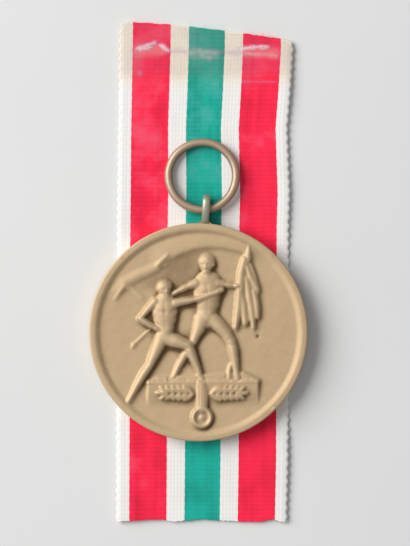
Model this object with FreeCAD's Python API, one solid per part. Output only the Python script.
import FreeCAD, Part
import math
import os

# Military service medal: a struck bronze disc with an eyelet and a wire ring, laid on its loose ribbon.
# Millimetres.  z = 0 is the ribbon's underside, and the disc's axis is the Z axis.
# +X runs across the ribbon, +Y to the ribbon's top end, and +Z up, out of the medal's struck face.

V = FreeCAD.Vector

# Ribbon: one woven strip, in three stretches so that its two ends can be folded up.
RIBBON_THICK = 0.45
TOP_FOLD_Y = 34.0
BOTTOM_FOLD_Y = -19.5
LEFT_EDGE = [(-11.95, 47.2), (-12.1, TOP_FOLD_Y), (-12.3, 16.6), (-12.45, BOTTOM_FOLD_Y), (-12.5, -28.3)]
RIGHT_EDGE = [(14.3, 43.4), (13.95, TOP_FOLD_Y), (13.85, 16.6), (13.7, BOTTOM_FOLD_Y), (13.45, -28.9)]
TOP_CUT = [(-5.5, 47.2), (13.2, 44.5)]

# Clear adhesive tape stuck across the ribbon's top end.
TAPE_THICK = 0.06
TAPE_OUTLINE = [(-12.05, 37.8), (14.1, 37.8), (14.2, 42.6), (12.6, 43.6), (-5.6, 46.1), (-11.95, 46.1)]

# Disc: the raised rim stands round a sunk field on both faces.
DISC_RADIUS = 16.5
DISC_THICK = 2.6
DISC_GAP = 0.03
RIM_HEIGHT = 0.5
RIM_LAND_RADIUS = 15.8
FIELD_RADIUS = 15.05
RIM_ROUND = 0.35
DISC_BACK_Z = RIBBON_THICK + DISC_GAP
DISC_MIDDLE_Z = DISC_BACK_Z + DISC_THICK / 2
FIELD_Z = DISC_BACK_Z + DISC_THICK - RIM_HEIGHT

# Eyelet: a flat oval eye, edge-on to the face, brazed on the rim a little clockwise of the top.
EYELET_TURN = 3.5
EYELET_WIDE = 1.15
EYELET_TOP = 20.9
EYELET_HALF_DEEP = 1.3
EYE_LOW = 17.7
EYE_HIGH = 20.3
EYE_HALF_DEEP = 0.85
EYELET_EDGE_ROUND = 0.2
BRAZE_FILM = 0.05
BRAZE_REACH = 0.5
BRAZE_WAIST = 0.16
BRAZE_HALF_DEEP = 1.0

# Ring: round wire closed with a butt joint, leaning on the eye at one side and the ribbon at the other.
WIRE_RADIUS = 0.625
RING_RADIUS = 5.125
RING_LEAN = 6.2
WIRE_PLAY = 0.05
RING_REST_GAP = 0.02
BUTT_GAP = 0.04
WIRE_AT_EYE = 18.62

# Relief on the struck face.  Places are (x, y) from the disc's centre, as a viewer sees left and right.
BEARER = {
    "head": (1.25, 10.2), "neck": (1.3, 8.4), "chest": (1.1, 6.3), "hips": (1.6, 2.2),
    "left_shoulder": (-0.3, 7.3), "left_elbow": (-1.9, 6.6), "left_hand": (-3.7, 5.5),
    "right_shoulder": (2.7, 7.4), "right_elbow": (4.3, 7.2), "right_hand": (6.0, 7.2),
    "left_hip": (0.8, 1.9), "left_knee": (-0.8, -1.5),
    "left_ankle": (-3.7, -6.4), "left_toe": (-4.2, -7.1),
    "right_hip": (2.4, 1.7), "right_knee": (5.2, -1.7),
    "right_ankle": (5.6, -5.9), "right_toe": (5.2, -6.9),
}
CLIMBER = {
    "head": (-5.2, 6.6), "neck": (-5.1, 5.2), "chest": (-4.9, 3.3), "hips": (-4.8, -0.4),
    "left_shoulder": (-6.6, 4.5), "left_elbow": (-8.8, 2.1), "left_hand": (-6.2, 0.5),
    "right_shoulder": (-3.4, 4.1), "right_elbow": (-0.3, 5.1), "right_hand": (3.5, 6.6),
    "left_hip": (-5.3, -0.9), "left_knee": (-7.4, -5.0),
    "left_ankle": (-10.1, -9.6), "left_toe": (-10.5, -10.5),
    "right_hip": (-4.2, -1.0), "right_knee": (-1.2, -1.8),
    "right_ankle": (0.2, -6.4), "right_toe": (0.7, -7.4),
}
BEARER_HEIGHT = 0.6
CLIMBER_HEIGHT = 0.85
LIMBS = [
    ("neck", 0.6, "chest", 1.5), ("chest", 1.8, "hips", 1.35),
    ("left_shoulder", 0.65, "left_elbow", 0.5), ("left_elbow", 0.5, "left_hand", 0.4),
    ("right_shoulder", 0.65, "right_elbow", 0.5), ("right_elbow", 0.5, "right_hand", 0.4),
    ("left_hip", 1.1, "left_knee", 0.75), ("left_knee", 0.75, "left_ankle", 0.45),
    ("right_hip", 1.1, "right_knee", 0.75), ("right_knee", 0.75, "right_ankle", 0.45),
    ("left_ankle", 0.45, "left_toe", 0.35), ("right_ankle", 0.45, "right_toe", 0.35),
]
HEAD_RADIUS = 1.15
STAFF = ((7.6, 13.1), (5.6, 0.7))
STAFF_RADIUS = 0.2
FLAG_FOLDS = [((7.1, 10.6), 0.4, (6.9, 2.0), 0.6), ((7.5, 10.4), 0.4, (8.5, 2.4), 0.7)]
BANNER = [
    (-12.6, 5.2), (-11.1, 7.6), (-6.4, 9.9), (-4.7, 11.8), (-1.0, 13.0),
    (3.5, 13.2), (6.9, 12.2), (6.2, 8.0), (-3.0, 6.2),
]
BANNER_HEIGHT = 0.22
PLINTH = [(-7.8, -11.2), (-7.8, -7.4), (-6.4, -6.2), (6.6, -5.8), (9.2, -7.1), (9.4, -10.9)]
PLINTH_HEIGHT = 0.32
GARLANDS = [((-6.0, -8.7), 0.5, (-1.2, -9.5), 0.7), ((2.4, -9.5), 0.7, (7.0, -8.7), 0.5)]
ROUNDEL_CENTRE = (0.55, -12.8)
ROUNDEL_RADIUS = 1.7
ORNAMENT_HEIGHT = 0.5
RELIEF_ROOT = 0.3


def turned(shape, degrees):
    """Turn a shape clockwise about the disc's axis."""
    shape.rotate(V(0, 0, 0), V(0, 0, 1), -degrees)
    return shape


def prism(points, low, high):
    """An upright prism on a closed outline of (x, y) points."""
    corners = [V(x, y, low) for x, y in points]
    return Part.Face(Part.makePolygon(corners + corners[:1])).extrude(V(0, 0, high - low))


def pad(start, start_radius, end, end_radius, low, high):
    """A flat-topped pad whose outline is two circles and the lines that touch them both."""
    a, b = V(*start, low), V(*end, low)
    span = b - a
    along = math.atan2(span.y, span.x)
    open_angle = math.acos((start_radius - end_radius) / span.Length)

    def on_circle(centre, radius, angle):
        return centre + V(math.cos(angle), math.sin(angle), 0) * radius

    left, right = along + open_angle, along - open_angle
    a_left, a_right = on_circle(a, start_radius, left), on_circle(a, start_radius, right)
    b_left, b_right = on_circle(b, end_radius, left), on_circle(b, end_radius, right)
    outline = Part.Wire([
        Part.Arc(a_left, on_circle(a, start_radius, along + math.pi), a_right).toShape(),
        Part.LineSegment(a_right, b_right).toShape(),
        Part.Arc(b_right, on_circle(b, end_radius, along), b_left).toShape(),
        Part.LineSegment(b_left, a_left).toShape(),
    ])
    return Part.Face(outline).extrude(V(0, 0, high - low))


def figure(places, height):
    """The pads of one figure: its limbs and its head."""
    low, high = FIELD_Z - RELIEF_ROOT, FIELD_Z + height
    pads = [pad(places[a], ra, places[b], rb, low, high) for a, ra, b, rb in LIMBS]
    pads.append(Part.makeCylinder(HEAD_RADIUS, high - low, V(*places["head"], low)))
    return pads


def disc_blank():
    """The turned blank: a rounded rim round a sunk field on both faces."""
    back, front = DISC_BACK_Z, DISC_BACK_Z + DISC_THICK
    corner = DISC_RADIUS - RIM_ROUND
    middle = corner + RIM_ROUND * math.sqrt(0.5)
    dip = RIM_ROUND * (1 - math.sqrt(0.5))
    half_profile = [
        Part.LineSegment(V(0, 0, back + RIM_HEIGHT), V(FIELD_RADIUS, 0, back + RIM_HEIGHT)),
        Part.LineSegment(V(FIELD_RADIUS, 0, back + RIM_HEIGHT), V(RIM_LAND_RADIUS, 0, back)),
        Part.LineSegment(V(RIM_LAND_RADIUS, 0, back), V(corner, 0, back)),
        Part.Arc(V(corner, 0, back), V(middle, 0, back + dip), V(DISC_RADIUS, 0, back + RIM_ROUND)),
        Part.LineSegment(V(DISC_RADIUS, 0, back + RIM_ROUND), V(DISC_RADIUS, 0, front - RIM_ROUND)),
        Part.Arc(V(DISC_RADIUS, 0, front - RIM_ROUND), V(middle, 0, front - dip), V(corner, 0, front)),
        Part.LineSegment(V(corner, 0, front), V(RIM_LAND_RADIUS, 0, front)),
        Part.LineSegment(V(RIM_LAND_RADIUS, 0, front), V(FIELD_RADIUS, 0, FIELD_Z)),
        Part.LineSegment(V(FIELD_RADIUS, 0, FIELD_Z), V(0, 0, FIELD_Z)),
        Part.LineSegment(V(0, 0, FIELD_Z), V(0, 0, back + RIM_HEIGHT)),
    ]
    outline = Part.Wire([edge.toShape() for edge in half_profile])
    return Part.Face(outline).revolve(V(0, 0, 0), V(0, 0, 1), 360)


def medal_disc():
    """The struck disc, with its relief blocked out in flat-topped steps."""
    low = FIELD_Z - RELIEF_ROOT
    relief = [prism(BANNER, low, FIELD_Z + BANNER_HEIGHT), prism(PLINTH, low, FIELD_Z + PLINTH_HEIGHT)]
    relief += figure(BEARER, BEARER_HEIGHT) + figure(CLIMBER, CLIMBER_HEIGHT)
    relief.append(pad(STAFF[0], STAFF_RADIUS, STAFF[1], STAFF_RADIUS, low, FIELD_Z + BEARER_HEIGHT))
    relief += [pad(*fold, low, FIELD_Z + ORNAMENT_HEIGHT) for fold in FLAG_FOLDS + GARLANDS]
    roundel_height = RELIEF_ROOT + ORNAMENT_HEIGHT
    relief.append(Part.makeCylinder(ROUNDEL_RADIUS, roundel_height, V(*ROUNDEL_CENTRE, low)))
    return disc_blank().fuse(relief).removeSplitter()


def upright_slot(low, high, half_deep, half_wide):
    """A slot-shaped block with round ends, standing across the X axis between two Y values."""
    bottom, top = low + half_deep, high - half_deep
    x = -half_wide

    def at(y, z):
        return V(x, y, DISC_MIDDLE_Z + z)

    outline = Part.Wire([
        Part.LineSegment(at(bottom, -half_deep), at(top, -half_deep)).toShape(),
        Part.Arc(at(top, -half_deep), at(high, 0), at(top, half_deep)).toShape(),
        Part.LineSegment(at(top, half_deep), at(bottom, half_deep)).toShape(),
        Part.Arc(at(bottom, half_deep), at(low, 0), at(bottom, -half_deep)).toShape(),
    ])
    return Part.Face(outline).extrude(V(2 * half_wide, 0, 0))


def suspension_eyelet():
    """The flat eye, its foot cut to sit round the rim on a film of braze."""
    half_wide = EYELET_WIDE / 2
    foot_low = DISC_RADIUS - EYELET_HALF_DEEP
    body = upright_slot(foot_low, EYELET_TOP, EYELET_HALF_DEEP, half_wide)
    body = body.makeFillet(EYELET_EDGE_ROUND, body.Edges)
    eye = upright_slot(EYE_LOW, EYE_HIGH, EYE_HALF_DEEP, EYELET_WIDE)
    rim = Part.makeCylinder(DISC_RADIUS + BRAZE_FILM, 4 * DISC_THICK, V(0, 0, DISC_BACK_Z - DISC_THICK))
    return turned(body.cut(eye).cut(rim), EYELET_TURN)


def eyelet_braze(disc, eyelet):
    """The braze: a film under the eyelet's foot that spreads to a hollow fillet at each side."""
    half_wide = EYELET_WIDE / 2
    flank = [
        (half_wide + BRAZE_REACH, DISC_RADIUS - BRAZE_REACH),
        (half_wide + BRAZE_REACH, DISC_RADIUS),
        (half_wide + BRAZE_WAIST, DISC_RADIUS + BRAZE_WAIST),
        (half_wide, DISC_RADIUS + BRAZE_REACH),
    ]
    outline = flank + [(-x, y) for x, y in reversed(flank)]
    block = prism(outline, DISC_MIDDLE_Z - BRAZE_HALF_DEEP, DISC_MIDDLE_Z + BRAZE_HALF_DEEP)
    block = turned(block, EYELET_TURN).cut(disc).cut(eyelet)
    # The eyelet's rounded edges leave crumbs above the foot, so only the largest solid is the braze.
    return max(block.Solids, key=lambda solid: solid.Volume)


def suspension_ring():
    """The wire ring, leaning from the eye down to the ribbon, with its butt joint inside the eye."""
    wire_z_at_eye = DISC_MIDDLE_Z - EYE_HALF_DEEP + WIRE_RADIUS + WIRE_PLAY
    wire_z_at_rest = RIBBON_THICK + RING_REST_GAP + WIRE_RADIUS
    tilt = math.degrees(math.asin((wire_z_at_eye - wire_z_at_rest) / (2 * RING_RADIUS)))
    ring = Part.makeTorus(RING_RADIUS, WIRE_RADIUS, V(0, RING_RADIUS, 0))
    ring = ring.cut(Part.makeBox(BUTT_GAP, 2, 4 * WIRE_RADIUS, V(-BUTT_GAP / 2, -1, -2 * WIRE_RADIUS)))
    ring.rotate(V(0, 0, 0), V(1, 0, 0), -tilt)
    ring.rotate(V(0, 0, 0), V(0, 0, 1), RING_LEAN)
    turn = math.radians(EYELET_TURN)
    ring.translate(V(WIRE_AT_EYE * math.sin(turn), WIRE_AT_EYE * math.cos(turn), wire_z_at_eye))
    return ring


def edge_between(edge, low, high):
    """The points of a ribbon edge that lie between two Y values, top first."""
    return [point for point in edge if low <= point[1] <= high]


def ribbon_stretch(low, high, cut=()):
    """One stretch of the ribbon: down the right edge from its top cut, and back up the left."""
    right = edge_between(RIGHT_EDGE, low, high)
    left = edge_between(LEFT_EDGE, low, high)
    return prism(list(cut) + right + left[::-1], 0, RIBBON_THICK)


def adhesive_tape():
    """The strip of clear tape, flat on the ribbon's top end."""
    return prism(TAPE_OUTLINE, RIBBON_THICK, RIBBON_THICK + TAPE_THICK)


def main():
    disc = medal_disc()
    eyelet = suspension_eyelet()
    parts = {
        "medal_disc": disc,
        "suspension_eyelet": eyelet,
        "eyelet_braze": eyelet_braze(disc, eyelet),
        "suspension_ring": suspension_ring(),
        "ribbon": ribbon_stretch(BOTTOM_FOLD_Y, TOP_FOLD_Y),
        "ribbon_top_end": ribbon_stretch(TOP_FOLD_Y, LEFT_EDGE[0][1], TOP_CUT),
        "ribbon_bottom_end": ribbon_stretch(RIGHT_EDGE[-1][1], BOTTOM_FOLD_Y),
        "adhesive_tape": adhesive_tape(),
    }
    os.makedirs("parts", exist_ok=True)
    for name, shape in parts.items():
        box = shape.BoundBox
        print(f"{name:18} valid {shape.isValid()} solids {len(shape.Solids)} volume {shape.Volume:9.3f}")
        print(f"    y {box.YMin:.2f}..{box.YMax:.2f} z {box.ZMin:.3f}..{box.ZMax:.3f}")
        shape.exportStep(f"parts/{name}.step")


main()
